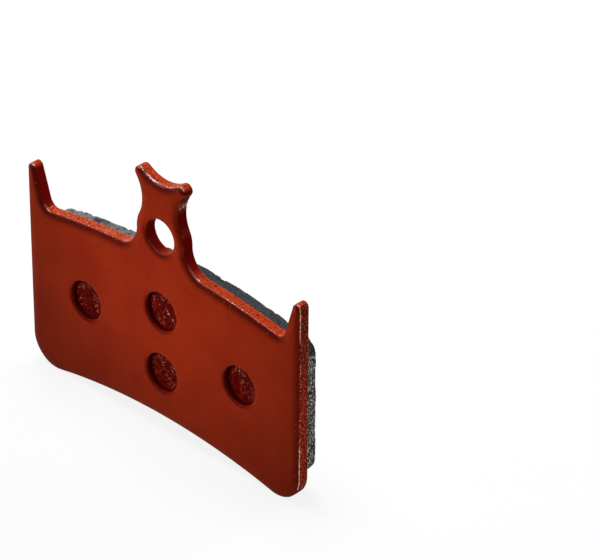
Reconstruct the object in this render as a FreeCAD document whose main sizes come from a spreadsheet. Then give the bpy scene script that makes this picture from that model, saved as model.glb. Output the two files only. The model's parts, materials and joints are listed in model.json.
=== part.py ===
import FreeCAD, Part
import Sketcher
import math
import os

# Disc brake pad for a bicycle caliper: a stamped steel backing plate, hung on its pin by a crowned tab,
# and a friction block moulded onto it that keys into four holes of the plate.
# Millimetres. +Z runs up through the tab, -Y is the outer side that the pistons push, +Y faces the rotor.
# The origin is on the axis of the pin hole, at mid-thickness of the plate.

Vector = FreeCAD.Vector

sizes = {
    "plate_width": 42.0,
    "plate_thickness": 1.45,
    "plate_outer_radius": 101.0,    # notch floors, round the rotor axis
    "plate_height": 20.5,           # from the notch floor arc down to the lower edge arc
    "corner_radius": 3.5,           # lower corners
    "edge_break": 0.2,              # stamped edges, taken off all round
    "pin_hole": 4.2,                # diameter
    "pin_height": 3.0,              # pin hole axis above the notch floor arc
    "tab_width": 7.4,               # round the pin hole
    "root_radius": 3.0,             # tab into notch floor
    "neck_inset": 0.9,              # narrowing of the tab above the hole, on each side
    "neck_radius": 4.5,
    "crown_rise": 3.1,              # centres of the crown's tips above the neck
    "crown_tip_radius": 0.73,
    "crown_dip": 0.95,              # hollow of the crown below the tops of its tips
    "notch_radius": 1.3,            # notch floor into horn
    "horn_lean": 16.7,              # inner edge of a horn from the vertical, in degrees
    "horn_rise": 3.2,               # centre of a horn's tip above the centre of its notch radius
    "horn_tip_radius": 0.58,
    "key_hole": 4.75,               # diameter of the holes that the block keys into
    "key_drop": 10.65,              # middle of those holes below the notch floor arc
    "key_spread": 24.05,            # between the left and right holes
    "key_stack": 8.0,               # between the upper and lower holes
    "plug_recess": 0.6,             # ends of the plugs below the outer face
    "block_thickness": 2.3,
    "block_inset_left": 1.9,        # plate left bare round the block
    "block_inset_right": 1.0,
    "block_inset_top": 1.0,
    "block_inset_bottom": 2.4,
    "block_corner_radius": 2.0,
    "block_edge_break": 0.15,       # ground off round the friction face
}

doc = FreeCAD.newDocument("disc_brake_pad")
sheet = doc.addObject("Spreadsheet::Sheet", "dims")
for row, (name, value) in enumerate(sizes.items(), start=1):
    sheet.set(f"A{row}", name)
    sheet.set(f"B{row}", str(value))
    sheet.setAlias(f"B{row}", name)
doc.recompute()

# Places worked out from the driving sizes, where each sketch is first drawn
rotor_axis = -sizes["pin_height"] - sizes["plate_outer_radius"]
plate_inner_radius = sizes["plate_outer_radius"] - sizes["plate_height"]
half_width = sizes["plate_width"] / 2
tab_radius = sizes["tab_width"] / 2
rotor_centre = Vector(0, rotor_axis, 0)
pin_centre = Vector(0, 0, 0)

# The same places for the sketches' constraints
axis_drop = "dims.pin_height + dims.plate_outer_radius"
inner_radius = "dims.plate_outer_radius - dims.plate_height"

origin_point = (-1, 1)


def origin_plane(body, role):
    return [item for item in body.Origin.OriginFeatures if item.Role == role][0]


def new_body(label):
    body = doc.addObject("PartDesign::Body", label)
    body.Label = label
    return body


def new_sketch(body, name):
    sketch = body.newObject("Sketcher::SketchObject", name)
    sketch.AttachmentSupport = [(origin_plane(body, "XZ_Plane"), "")]
    sketch.MapMode = "FlatFace"
    return sketch


class Edge:
    """A sketch edge with the points where the outline enters and leaves it, and its centre.

    A sketch numbers an edge's start 1, its end 2 and its centre 3.
    """

    def __init__(self, index, backwards=False):
        start, end = (index, 1), (index, 2)
        self.index = index
        self.entry, self.leave = (end, start) if backwards else (start, end)
        self.centre = (index, 3)


def add_line(sketch, start, end):
    return Edge(sketch.addGeometry(Part.LineSegment(start, end), False))


def turn(centre, point):
    return math.atan2(point.y - centre.y, point.x - centre.x)


def add_arc(sketch, centre, start, end, clockwise):
    first, last = (end, start) if clockwise else (start, end)
    circle = Part.Circle(centre, Vector(0, 0, 1), (first - centre).Length)
    arc = Part.ArcOfCircle(circle, turn(centre, first), turn(centre, last))
    return Edge(sketch.addGeometry(arc, False), backwards=clockwise)


def add_circle(sketch, centre, diameter):
    return Edge(sketch.addGeometry(Part.Circle(centre, Vector(0, 0, 1), diameter / 2), False))


def relate(sketch, kind, *where):
    return sketch.addConstraint(Sketcher.Constraint(kind, *where))


def hold_on_centre_line(sketch, point):
    """Keep a point on the sketch's vertical axis, which is its edge -2."""
    relate(sketch, "PointOnObject", *point, -2)


def drive(sketch, name, formula, kind, *where):
    """Add a dimension at its drawn value and bind it to the sheet."""
    index = sketch.addConstraint(Sketcher.Constraint(kind, *where, drawn_value(sketch, kind, where)))
    sketch.renameConstraint(index, name)
    sketch.setExpression("Constraints." + name, formula)


def drawn_value(sketch, kind, where):
    if kind == "Radius":
        return sketch.Geometry[where[0]].Radius
    if kind == "Angle":
        edge = sketch.Geometry[where[0]]
        return turn(edge.StartPoint, edge.EndPoint)
    span = sketch.getPoint(*where[2:4]) - sketch.getPoint(*where[0:2])
    return span.x if kind == "DistanceX" else span.y


def toward(start, end, length):
    return start + (end - start).normalize() * length


def crossing(centre_a, radius_a, centre_b, radius_b):
    """The point at the two radii from the two centres, on the right of the line from a to b."""
    line = centre_b - centre_a
    along = (radius_a ** 2 - radius_b ** 2 + line.Length ** 2) / (2 * line.Length)
    aside = math.sqrt(radius_a ** 2 - along ** 2)
    line.normalize()
    return centre_a + line * along + Vector(line.y, -line.x, 0) * aside


def height_on(radius, across):
    """Height of a rotor arc at a distance from the centre line."""
    return rotor_axis + math.sqrt(radius ** 2 - across ** 2)


def draw_half_plate(sketch):
    """Right half of the plate's outline, clockwise from the middle of the crown."""
    neck_radius = sizes["neck_radius"]
    neck_across = tab_radius - sizes["neck_inset"] + neck_radius
    neck_centre = Vector(neck_across, math.sqrt((tab_radius + neck_radius) ** 2 - neck_across ** 2), 0)
    tip_radius = sizes["crown_tip_radius"]
    tip_reach = math.sqrt((neck_radius + tip_radius) ** 2 - sizes["crown_rise"] ** 2)
    tip_centre = neck_centre + Vector(-tip_reach, sizes["crown_rise"], 0)
    crown_low = Vector(0, tip_centre.y + tip_radius - sizes["crown_dip"], 0)
    crown_radius = (tip_centre.x ** 2 + sizes["crown_dip"] ** 2 - 2 * sizes["crown_dip"] * tip_radius)
    crown_radius = crown_radius / (2 * sizes["crown_dip"])
    crown_centre = crown_low + Vector(0, crown_radius, 0)

    root_radius = sizes["root_radius"]
    floor_radius = sizes["plate_outer_radius"]
    root_centre = crossing(rotor_centre, floor_radius + root_radius, pin_centre, tab_radius + root_radius)

    notch_radius = sizes["notch_radius"]
    horn_radius = sizes["horn_tip_radius"]
    lean = math.radians(sizes["horn_lean"])
    horn_side = Vector(-math.cos(lean), math.sin(lean), 0)
    both_radii = notch_radius + horn_radius
    horn_across = half_width - horn_radius
    notch_across = horn_across - sizes["horn_rise"] * math.tan(lean) - both_radii / math.cos(lean)
    notch_centre = Vector(notch_across, height_on(floor_radius + notch_radius, notch_across), 0)
    horn_centre = Vector(horn_across, notch_centre.y + sizes["horn_rise"], 0)

    corner_radius = sizes["corner_radius"]
    corner_across = half_width - corner_radius
    corner_centre = Vector(corner_across, height_on(plate_inner_radius + corner_radius, corner_across), 0)

    crown_end = toward(crown_centre, tip_centre, crown_radius)
    tip_end = toward(tip_centre, neck_centre, tip_radius)
    neck_end = toward(pin_centre, neck_centre, tab_radius)
    boss_end = toward(pin_centre, root_centre, tab_radius)
    root_end = toward(rotor_centre, root_centre, floor_radius)
    floor_end = toward(rotor_centre, notch_centre, floor_radius)
    notch_end = notch_centre - horn_side * notch_radius
    horn_start = horn_centre + horn_side * horn_radius
    side_top = horn_centre + Vector(horn_radius, 0, 0)
    side_foot = corner_centre + Vector(corner_radius, 0, 0)
    corner_end = toward(rotor_centre, corner_centre, plate_inner_radius)
    lower_middle = rotor_centre + Vector(0, plate_inner_radius, 0)

    crown = add_arc(sketch, crown_centre, crown_low, crown_end, False)
    tip = add_arc(sketch, tip_centre, crown_end, tip_end, True)
    neck = add_arc(sketch, neck_centre, tip_end, neck_end, False)
    boss = add_arc(sketch, pin_centre, neck_end, boss_end, True)
    root = add_arc(sketch, root_centre, boss_end, root_end, False)
    floor = add_arc(sketch, rotor_centre, root_end, floor_end, True)
    notch = add_arc(sketch, notch_centre, floor_end, notch_end, False)
    horn = add_line(sketch, notch_end, horn_start)
    horn_tip = add_arc(sketch, horn_centre, horn_start, side_top, True)
    side = add_line(sketch, side_top, side_foot)
    corner = add_arc(sketch, corner_centre, side_foot, corner_end, True)
    lower = add_arc(sketch, rotor_centre, corner_end, lower_middle, False)
    middle = add_line(sketch, lower_middle, crown_low)

    smooth = [crown, tip, neck, boss, root, floor, notch, horn, horn_tip, side, corner, lower]
    for edge, following in zip(smooth, smooth[1:]):
        relate(sketch, "Tangent", *edge.leave, *following.entry)
    relate(sketch, "Coincident", *lower.leave, *middle.entry)
    relate(sketch, "Coincident", *middle.leave, *crown.entry)

    relate(sketch, "Coincident", *boss.centre, *origin_point)
    relate(sketch, "Coincident", *lower.centre, *floor.centre)
    for point in (crown.centre, crown.entry, floor.centre, lower.leave):
        hold_on_centre_line(sketch, point)
    relate(sketch, "Vertical", side.index)

    neck_across_formula = "dims.tab_width / 2 - dims.neck_inset + dims.neck_radius"
    crown_depth = "dims.crown_dip - dims.crown_tip_radius"
    drive(sketch, "boss_radius", "dims.tab_width / 2", "Radius", boss.index)
    drive(sketch, "neck_radius", "dims.neck_radius", "Radius", neck.index)
    drive(sketch, "neck_across", neck_across_formula, "DistanceX", *origin_point, *neck.centre)
    drive(sketch, "tip_radius", "dims.crown_tip_radius", "Radius", tip.index)
    drive(sketch, "crown_rise", "dims.crown_rise", "DistanceY", *neck.centre, *tip.centre)
    drive(sketch, "crown_depth", crown_depth, "DistanceY", *crown.entry, *tip.centre)
    drive(sketch, "root_radius", "dims.root_radius", "Radius", root.index)
    drive(sketch, "axis_drop", axis_drop, "DistanceY", *floor.centre, *origin_point)
    drive(sketch, "floor_radius", "dims.plate_outer_radius", "Radius", floor.index)
    drive(sketch, "notch_radius", "dims.notch_radius", "Radius", notch.index)
    drive(sketch, "horn_lean", "90 deg - dims.horn_lean * 1 deg", "Angle", horn.index)
    drive(sketch, "horn_tip_radius", "dims.horn_tip_radius", "Radius", horn_tip.index)
    drive(sketch, "horn_rise", "dims.horn_rise", "DistanceY", *notch.centre, *horn_tip.centre)
    drive(sketch, "half_width", "dims.plate_width / 2", "DistanceX", *origin_point, *side.entry)
    drive(sketch, "corner_radius", "dims.corner_radius", "Radius", corner.index)
    drive(sketch, "lower_radius", inner_radius, "Radius", lower.index)


def draw_key_circles(sketch):
    """The four keying holes: one each side of the centre line, one above and one below."""
    middle = -sizes["pin_height"] - sizes["key_drop"]
    middle_drop = "dims.pin_height + dims.key_drop"
    places = (
        ("left", Vector(-sizes["key_spread"] / 2, middle, 0), middle_drop),
        ("right", Vector(sizes["key_spread"] / 2, middle, 0), middle_drop),
        ("upper", Vector(0, middle + sizes["key_stack"] / 2, 0), middle_drop + " - dims.key_stack / 2"),
        ("lower", Vector(0, middle - sizes["key_stack"] / 2, 0), middle_drop + " + dims.key_stack / 2"),
    )
    for name, place, drop in places:
        circle = add_circle(sketch, place, sizes["key_hole"])
        drive(sketch, name + "_radius", "dims.key_hole / 2", "Radius", circle.index)
        drive(sketch, name + "_drop", drop, "DistanceY", *circle.centre, *origin_point)
        if name == "left":
            drive(sketch, "left_across", "dims.key_spread / 2", "DistanceX", *circle.centre, *origin_point)
        elif name == "right":
            drive(sketch, "right_across", "dims.key_spread / 2", "DistanceX", *origin_point, *circle.centre)
        else:
            hold_on_centre_line(sketch, circle.centre)


def edge_names(shape, wanted):
    return [f"Edge{number}" for number, edge in enumerate(shape.Edges, start=1) if wanted(edge)]


def lies_at(edge, depth):
    """True where the whole edge lies in the plane at this depth along Y."""
    box = edge.BoundBox
    return abs(box.YMin - depth) < 1e-6 and abs(box.YMax - depth) < 1e-6


def work_edges(body, kind, name, base, size, wanted):
    """Fillet or chamfer the wanted edges of a feature by a size from the sheet."""
    feature = body.newObject("PartDesign::" + kind, name)
    feature.Base = (base, edge_names(base.Shape, wanted))
    feature.setExpression("Radius" if kind == "Fillet" else "Size", "dims." + size)
    doc.recompute()
    return feature


def cut_through(body, name, sketch):
    pocket = body.newObject("PartDesign::Pocket", name)
    pocket.Profile = sketch
    pocket.SideType = "Symmetric"
    pocket.Type = "ThroughAll"
    doc.recompute()
    return pocket


def make_backing_plate():
    body = new_body("backing_plate")
    outline = new_sketch(body, "half_outline")
    draw_half_plate(outline)
    doc.recompute()
    blank = body.newObject("PartDesign::Pad", "half_blank")
    blank.Profile = outline
    blank.SideType = "Symmetric"
    blank.setExpression("Length", "dims.plate_thickness")
    doc.recompute()
    mirrored = body.newObject("PartDesign::Mirrored", "whole_blank")
    mirrored.Originals = [blank]
    mirrored.MirrorPlane = (origin_plane(body, "YZ_Plane"), [""])
    body.Tip = mirrored
    doc.recompute()

    keys = new_sketch(body, "key_circles")
    draw_key_circles(keys)
    doc.recompute()
    keyed = cut_through(body, "key_holes", keys)

    # The outline is broken on both sides and the key holes on the outer side, where they stay open
    half_thickness = sizes["plate_thickness"] / 2

    def is_stamped(edge):
        on_outer_face = lies_at(edge, -half_thickness)
        on_rotor_face = lies_at(edge, half_thickness)
        return on_outer_face or (on_rotor_face and not edge.isClosed())

    broken = work_edges(body, "Chamfer", "stamped_edges", keyed, "edge_break", is_stamped)

    pin = new_sketch(body, "pin_circle")
    circle = add_circle(pin, pin_centre, sizes["pin_hole"])
    relate(pin, "Coincident", *circle.centre, *origin_point)
    drive(pin, "pin_radius", "dims.pin_hole / 2", "Radius", circle.index)
    doc.recompute()
    body.Tip = cut_through(body, "pin_hole", pin)
    return body, broken


def draw_block(sketch):
    """Outline of the block with sharp corners, clockwise from its upper left corner."""
    left = -half_width + sizes["block_inset_left"]
    right = half_width - sizes["block_inset_right"]
    top_radius = sizes["plate_outer_radius"] - sizes["block_inset_top"]
    bottom_radius = plate_inner_radius + sizes["block_inset_bottom"]
    upper_left = Vector(left, height_on(top_radius, left), 0)
    upper_right = Vector(right, height_on(top_radius, right), 0)
    lower_right = Vector(right, height_on(bottom_radius, right), 0)
    lower_left = Vector(left, height_on(bottom_radius, left), 0)

    top = add_arc(sketch, rotor_centre, upper_left, upper_right, True)
    right_side = add_line(sketch, upper_right, lower_right)
    bottom = add_arc(sketch, rotor_centre, lower_right, lower_left, False)
    left_side = add_line(sketch, lower_left, upper_left)
    around = [top, right_side, bottom, left_side]
    for edge, following in zip(around, around[1:] + around[:1]):
        relate(sketch, "Coincident", *edge.leave, *following.entry)
    relate(sketch, "Coincident", *bottom.centre, *top.centre)
    hold_on_centre_line(sketch, top.centre)
    for side in (left_side, right_side):
        relate(sketch, "Vertical", side.index)

    left_across = "dims.plate_width / 2 - dims.block_inset_left"
    right_across = "dims.plate_width / 2 - dims.block_inset_right"
    drive(sketch, "axis_drop", axis_drop, "DistanceY", *top.centre, *origin_point)
    drive(sketch, "top_radius", "dims.plate_outer_radius - dims.block_inset_top", "Radius", top.index)
    drive(sketch, "bottom_radius", inner_radius + " + dims.block_inset_bottom", "Radius", bottom.index)
    drive(sketch, "left_across", left_across, "DistanceX", *left_side.entry, *origin_point)
    drive(sketch, "right_across", right_across, "DistanceX", *origin_point, *right_side.entry)


def make_friction_block():
    body = new_body("friction_block")
    bond_depth = sizes["plate_thickness"] / 2
    face_depth = bond_depth + sizes["block_thickness"]

    outline = new_sketch(body, "block_outline")
    outline.setExpression("AttachmentOffset.Base.z", "-dims.plate_thickness / 2")
    draw_block(outline)
    doc.recompute()
    slab = body.newObject("PartDesign::Pad", "slab")
    slab.Profile = outline
    slab.Reversed = True
    slab.setExpression("Length", "dims.block_thickness")
    doc.recompute()

    def stands_across(edge):
        box = edge.BoundBox
        return box.YLength > sizes["block_thickness"] / 2

    def rims_face(edge):
        return lies_at(edge, face_depth)

    cornered = work_edges(body, "Fillet", "block_corners", slab, "block_corner_radius", stands_across)
    ground = work_edges(body, "Chamfer", "face_edge", cornered, "block_edge_break", rims_face)

    circles = new_sketch(body, "plug_circles")
    circles.setExpression("AttachmentOffset.Base.z", "-dims.plate_thickness / 2")
    draw_key_circles(circles)
    doc.recompute()
    plugs = body.newObject("PartDesign::Pad", "plugs")
    plugs.Profile = circles
    plugs.setExpression("Length", "dims.plate_thickness - dims.plug_recess")
    doc.recompute()
    body.Tip = plugs
    return body, ground


backing_plate, plate_before_pin = make_backing_plate()
friction_block, block_before_plugs = make_friction_block()
doc.recompute()

for item in doc.Objects:
    if "Invalid" in item.State or "Error" in item.State:
        raise RuntimeError(f"{item.Label} failed to build: {item.State}")
for body in (backing_plate, friction_block):
    if body.Shape.isNull() or not body.Shape.isValid() or len(body.Shape.Solids) != 1:
        raise RuntimeError(f"{body.Label} is not one valid solid")
if backing_plate.Shape.Volume >= plate_before_pin.Shape.Volume:
    raise RuntimeError("the pin hole cut nothing")
if friction_block.Shape.Volume <= block_before_plugs.Shape.Volume:
    raise RuntimeError("the plugs added nothing")

os.makedirs("parts", exist_ok=True)
for body in (backing_plate, friction_block):
    body.Shape.exportStep(f"parts/{body.Label}.step")
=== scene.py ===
import json
import math
import random

import bmesh
import bpy
import numpy as np
from mathutils import Matrix, Vector, geometry, noise


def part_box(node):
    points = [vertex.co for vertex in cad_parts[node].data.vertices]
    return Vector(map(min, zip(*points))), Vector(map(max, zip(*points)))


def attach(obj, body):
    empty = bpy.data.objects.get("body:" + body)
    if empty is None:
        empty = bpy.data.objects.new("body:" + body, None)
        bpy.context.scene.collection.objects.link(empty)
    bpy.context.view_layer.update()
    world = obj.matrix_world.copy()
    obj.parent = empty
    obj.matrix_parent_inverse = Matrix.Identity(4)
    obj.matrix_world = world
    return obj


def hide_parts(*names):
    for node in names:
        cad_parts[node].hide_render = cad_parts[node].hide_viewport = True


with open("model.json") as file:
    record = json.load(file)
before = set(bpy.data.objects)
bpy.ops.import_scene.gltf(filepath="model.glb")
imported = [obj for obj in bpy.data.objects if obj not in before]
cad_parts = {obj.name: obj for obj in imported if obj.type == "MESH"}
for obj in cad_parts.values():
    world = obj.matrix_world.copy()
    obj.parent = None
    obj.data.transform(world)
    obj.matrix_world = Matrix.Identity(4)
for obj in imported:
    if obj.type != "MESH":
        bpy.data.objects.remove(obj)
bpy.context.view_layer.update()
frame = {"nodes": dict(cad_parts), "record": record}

mm = 0.001
weld = 0.002                                        # CAD points nearer than this, in millimetres, are one
sameSpot = 1e-6
white = (1.0, 1.0, 1.0, 1.0)
nodes = frame["nodes"]
plateLow, plateHigh = (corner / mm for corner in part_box("backing_plate"))
blockLow, blockHigh = (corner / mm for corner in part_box("friction_block"))
print("frame loaded:", sorted(nodes))


def shade(red, green, blue):                        # screen colour, 0 to 255, as shaders take it
    parts = [part / 255 for part in (red, green, blue)]
    linear = [part / 12.92 if part < 0.04 else ((part + 0.055) / 1.055) ** 2.4 for part in parts]
    return (*linear, 1.0)


def grey(level):
    return (level, level, level, 1.0)


class Wire:                                         # a node's output that can be used in sums
    def __init__(self, finish, socket):
        self.finish = finish
        self.socket = socket

    def sum(self, operation, first, second):
        return self.finish.add("Math", {"operation": operation}, {0: first, 1: second})

    def __add__(self, other):
        return self.sum("ADD", self, other)

    def __radd__(self, other):
        return self.sum("ADD", other, self)

    def __sub__(self, other):
        return self.sum("SUBTRACT", self, other)

    def __rsub__(self, other):
        return self.sum("SUBTRACT", other, self)

    def __mul__(self, other):
        return self.sum("MULTIPLY", self, other)

    def __rmul__(self, other):
        return self.sum("MULTIPLY", other, self)


class Finish:                                       # one material, or the world, built node by node
    def __init__(self, name, kind="Material"):
        made = bpy.data.materials if kind == "Material" else bpy.data.worlds
        self.kind = kind
        self.look = made.new(name)
        self.look.use_nodes = True
        self.tree = self.look.node_tree
        self.tree.nodes.clear()

    def add(self, kind, settings=None, sockets=None, out=0):
        node = self.tree.nodes.new("ShaderNode" + kind)
        for key, value in (settings or {}).items():
            setattr(node, key, value)
        for key, value in (sockets or {}).items():
            if isinstance(value, Wire):
                self.tree.links.new(value.socket, node.inputs[key])
            else:
                node.inputs[key].default_value = value
        return Wire(self, node.outputs[out]) if node.outputs else node

    def place(self, turn=(0, 0, 0), stretch=(1, 1, 1)):          # the object's own millimetres
        own = self.add("TexCoord", out="Object")
        scale = tuple(part / mm for part in stretch)
        return self.add("Mapping", {}, {"Vector": own, "Rotation": turn, "Scale": scale})

    def cloud(self, place, scale, detail=2.0, rough=0.5):
        sockets = {"Vector": place, "Scale": scale, "Detail": detail, "Roughness": rough}
        return self.add("TexNoise", {}, sockets)

    def clouds(self, place, sizes):                              # several clouds by name
        return {name: self.cloud(place, *size) for name, size in sizes.items()}

    def cells(self, place, scale, out="Distance"):
        return self.add("TexVoronoi", {}, {"Vector": place, "Scale": scale}, out)

    def part(self, colour, channel):
        return self.add("SeparateColor", {}, {0: colour}, channel)

    def lot(self, place, scale, channel=0):                      # a number drawn for each cell
        return self.part(self.cells(place, scale, "Color"), channel)

    def ease(self, value, low, high):                            # 0 below low, 1 above high, smooth between
        spans = {"Value": value, "From Min": low, "From Max": high}
        return self.add("MapRange", {"interpolation_type": "SMOOTHSTEP"}, spans)

    def below(self, value, level, fade):                         # 0 above level, 1 from fade under it
        return self.ease(level - value, 0.0, fade)

    def blend(self, factor, first, second):
        return self.add("Mix", {"data_type": "RGBA"}, {0: factor, 6: first, 7: second}, 2)

    def layer(self, colour, look, *masks):                       # each mask brings in its colour
        for name, mask in masks:
            colour = self.blend(mask, colour, look[name])
        return colour

    def mark(self, name):                                        # a value kept on the mesh's points
        return self.add("Attribute", {"attribute_name": name}, {}, "Fac")

    def marks(self, names):
        return [self.mark(name) for name in names.split()]

    def bump(self, height, depth):
        return self.add("Bump", {}, {"Height": height, "Distance": depth * mm, "Strength": 1.0})

    def shown(self):                                             # 1 for the eye, mirrors and glass
        eye, mirror, glass = (self.add("LightPath", out="Is %s Ray" % kind)
                              for kind in ("Camera", "Glossy", "Transmission"))
        return eye + mirror + glass

    def close(self, shader):
        self.add("Output" + self.kind, {}, {"Surface": shader})
        return self.look


class Skin:                                         # points and faces of one piece, in millimetres
    def __init__(self):
        self.points = []
        self.faces = []
        self.marks = []

    def row(self, points, **marks):                 # new points, with the values they carry for the shaders
        start = len(self.points)
        self.points.extend(tuple(point) for point in points)
        self.marks.append((start, marks))
        return list(range(start, len(self.points)))

    def strips(self, rows, closed=True):            # bands of faces between each row and the next
        for lower, upper in zip(rows, rows[1:]):
            last = len(lower) if closed else len(lower) - 1
            for here in range(last):
                beyond = (here + 1) % len(lower)
                self.faces.append((lower[here], lower[beyond], upper[beyond], upper[here]))

    def cap(self, row):                             # one face inside a row
        self.faces.append(tuple(row))

    def rings(self, rows):                          # the rows seen flat, from the front
        return [np.array([self.points[index] for index in row])[:, [0, 2]] for row in rows]

    def cover(self, rows, inner, depth, **marks):   # a face inside the first row and round the others
        rings = self.rings(rows)
        edges = []
        for ring in rings:
            start = len(edges)
            edges += [(start + here, start + (here + 1) % len(ring)) for here in range(len(ring))]
        indices = [index for row in rows for index in row]
        indices += self.row(np.column_stack([inner[:, 0], depth, inner[:, 1]]), **marks)
        flat = [Vector(point) for point in np.vstack(rings + [inner])]
        places, _, triangles, origins, _, _ = geometry.delaunay_2d_cdt(flat, edges, [], 0, sameSpot)
        centres = [np.mean([places[corner] for corner in triangle], axis=0) for triangle in triangles]
        for triangle, kept in zip(triangles, insideFace(np.array(centres), rings)):
            if kept:
                self.faces.append(tuple(indices[origins[corner][0]] for corner in triangle))

    def make(self, name, material, smooth=True):
        mesh = bpy.data.meshes.new(name)
        mesh.from_pydata([tuple(part * mm for part in point) for point in self.points], [], self.faces)
        ends = [start for start, _ in self.marks[1:]] + [len(self.points)]
        for mark in sorted({mark for _, marks in self.marks for mark in marks}):
            values = np.zeros(len(self.points), np.float32)
            for (start, marks), end in zip(self.marks, ends):
                values[start:end] = marks.get(mark, 0.0)
            mesh.attributes.new(mark, "FLOAT", "POINT").data.foreach_set("value", values)
        grid = bmesh.new()
        grid.from_mesh(mesh)
        bmesh.ops.recalc_face_normals(grid, faces=grid.faces)
        for face in grid.faces:
            face.smooth = smooth
        grid.to_mesh(mesh)
        grid.free()
        mesh.materials.append(material)
        piece = bpy.data.objects.new(name, mesh)
        bpy.context.scene.collection.objects.link(piece)
        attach(piece, "root")
        print(name, "has", len(mesh.polygons), "faces")
        return piece


def slope(value, start, full):                      # 0 at start, 1 at full, and straight on
    return (value - start) / (full - start)


def ramp(value, start, full):                       # the same, held between 0 and 1
    return np.clip(slope(value, start, full), 0, 1)


def insideLoop(points, loop):                       # even-odd test for many points at once
    found = np.zeros(len(points), bool)
    for (startX, startZ), (endX, endZ) in zip(loop, np.roll(loop, -1, axis=0)):
        if startZ == endZ:
            continue
        spans = (startZ > points[:, 1]) != (endZ > points[:, 1])
        meets = startX + (points[:, 1] - startZ) * (endX - startX) / (endZ - startZ)
        found ^= spans & (points[:, 0] < meets)
    return found


def insideFace(points, rings):                      # inside the first ring and outside the others
    found = insideLoop(points, rings[0])
    for hole in rings[1:]:
        found &= ~insideLoop(points, hole)
    return found


def nearestOf(points, others):                      # distance to the nearest of the others, and its number
    distance = np.full(len(points), np.inf)
    which = np.zeros(len(points), int)
    for number, other in enumerate(others):
        gap = ((points - other) ** 2).sum(1)
        closer = gap < distance
        distance[closer] = gap[closer]
        which[closer] = number
    return np.sqrt(distance), which


def faceGrid(rings, spacing, closest, farthest):    # staggered points in a face, by distance from its edges
    low, high = rings[0].min(0), rings[0].max(0)
    across, up = np.meshgrid(np.arange(low[0], high[0], spacing), np.arange(low[1], high[1], spacing))
    across[1::2] += spacing / 2
    points = np.column_stack([across.ravel(), up.ravel()])
    points = points[insideFace(points, rings)]
    distance, _ = nearestOf(points, np.vstack(rings))
    return points[(distance > closest) & (distance <= farthest)]


def cadLoops(node, depth):                          # closed runs of CAD edges at one depth, longest first
    grid = bmesh.new()
    grid.from_mesh(nodes[node].data)
    bmesh.ops.remove_doubles(grid, verts=grid.verts, dist=weld * mm)
    beside = {}
    for edge in grid.edges:
        if all(abs(vert.co.y / mm - depth) < weld for vert in edge.verts):
            for vert in edge.verts:
                beside.setdefault(vert, []).append(edge.other_vert(vert))
    loops = []
    while beside:
        vert, onward = beside.popitem()
        run = [vert]
        while onward:
            vert = onward[0]
            run.append(vert)
            onward = [other for other in beside.pop(vert) if other in beside]
        loops.append(np.array([(vert.co.x, vert.co.z) for vert in run]) / mm)
    grid.free()
    return sorted(loops, key=lambda loop: -np.ptp(loop, axis=0).sum())


def smoothed(loop, part=0.02):                      # fine points on a smooth curve through a coarse loop
    after = np.roll(loop, -1, axis=0)
    heading = after - np.roll(loop, 1, axis=0)
    heading /= np.linalg.norm(heading, axis=1)[:, None]
    pieces = []
    for start, end, leaving, arriving in zip(loop, after, heading, np.roll(heading, -1, axis=0)):
        length = np.linalg.norm(end - start)
        t = np.linspace(0, 1, max(2, math.ceil(length / part)), endpoint=False)[:, None]
        curve = (2 * t ** 3 - 3 * t ** 2 + 1) * start + (3 * t ** 2 - 2 * t ** 3) * end
        curve += length * ((t ** 3 - 2 * t ** 2 + t) * leaving + (t ** 3 - t ** 2) * arriving)
        pieces.append(curve)
    loop = np.vstack(pieces)
    area = np.sum(loop[:, 0] * np.roll(loop[:, 1], -1) - loop[:, 1] * np.roll(loop[:, 0], -1))
    return loop if area > 0 else loop[::-1]


def evenly(curve, count, closed=True):              # the same curve in equal steps
    if closed:
        curve = np.vstack([curve, curve[:1]])
    along = np.concatenate([[0], np.cumsum(np.linalg.norm(np.diff(curve, axis=0), axis=1))])
    stops = np.linspace(0, along[-1], count, endpoint=not closed)
    return np.column_stack([np.interp(stops, along, curve[:, axis]) for axis in (0, 1)])


def outward(loop):                                  # the way that each point of a loop faces
    heading = np.roll(loop, -1, axis=0) - np.roll(loop, 1, axis=0)
    heading /= np.linalg.norm(heading, axis=1)[:, None]
    return np.column_stack([heading[:, 1], -heading[:, 0]])


def circle(centre, radius, count):
    turns = np.linspace(0, 2 * math.pi, count, endpoint=False)
    return np.column_stack([centre[0] + radius * np.cos(turns), centre[1] + radius * np.sin(turns)])


def quarterTurn(steps):                             # angles of a rolled edge
    return [math.pi / 2 * step / steps for step in range(steps + 1)]


def grain(point, scale, seed, octaves=3, fade=0.8, finer=2.1):   # smooth noise, about -1 to 1
    shift = Vector((seed, seed * 1.7, seed * 0.6))
    return noise.fractal(Vector(point) * scale + shift, fade, finer, octaves)


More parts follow.
